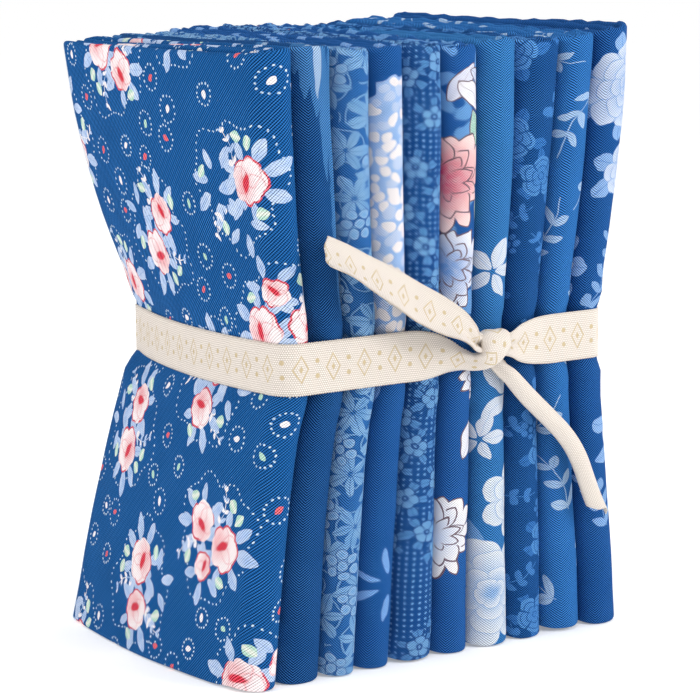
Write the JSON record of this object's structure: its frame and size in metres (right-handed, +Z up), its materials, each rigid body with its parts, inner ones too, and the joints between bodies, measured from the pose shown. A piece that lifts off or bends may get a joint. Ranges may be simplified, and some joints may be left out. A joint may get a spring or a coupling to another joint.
{
  "type": "fat quarter bundle",
  "caption": "Folded cuts of printed quilting cotton, stood on edge side by side like books, drawn in at mid height by a cotton ribbon tied in a half knot with free ends.",
  "frame": {"origin": "on the ground under the middle of the whole bundle's bounding box", "axes": "+Z up along the rounded folds, +X the way the rounded folds and the knot face, -Y the way the first cut's flat panel faces"},
  "size_m": [0.1228, 0.148, 0.1927],
  "materials": {
    "cotton_rose_dots": "plain-weave cotton, deep blue ground with small pink roses and dotted rings",
    "cotton_dark_tonal": "plain-weave cotton, deep blue with tonal blue leaves",
    "cotton_berry_scroll": "plain-weave cotton, mid blue with pale blue berries and curled leaves",
    "cotton_pale_clusters": "plain-weave cotton, pale clustered flowers on deep blue",
    "cotton_dot_grid": "plain-weave cotton, deep blue with a small dot grid and pale blue flowers",
    "cotton_mixed_blooms": "plain-weave cotton, blue with outlined pink and pale blooms",
    "cotton_mid_blue": "plain-weave cotton, mid blue with scattered pale flowers",
    "cotton_dark_sprigs": "plain-weave cotton, deep blue with tonal flowers and sprigs",
    "cotton_leaf_sprigs": "plain-weave cotton, mid blue with pale leaf sprigs",
    "cotton_large_blooms": "plain-weave cotton, deep blue with large pale blooms",
    "cotton_tape": "undyed woven cotton tape"
  },
  "bodies": {
    "root": {"fat_quarter_01": "cotton_rose_dots", "fat_quarter_02": "cotton_dark_tonal", "fat_quarter_03": "cotton_berry_scroll", "fat_quarter_04": "cotton_pale_clusters", "fat_quarter_05": "cotton_dot_grid", "fat_quarter_06": "cotton_mixed_blooms", "fat_quarter_07": "cotton_mid_blue", "fat_quarter_08": "cotton_dark_sprigs", "fat_quarter_09": "cotton_leaf_sprigs", "fat_quarter_10": "cotton_large_blooms", "ribbon_tie": "cotton_tape"}
  },
  "joints": []
}
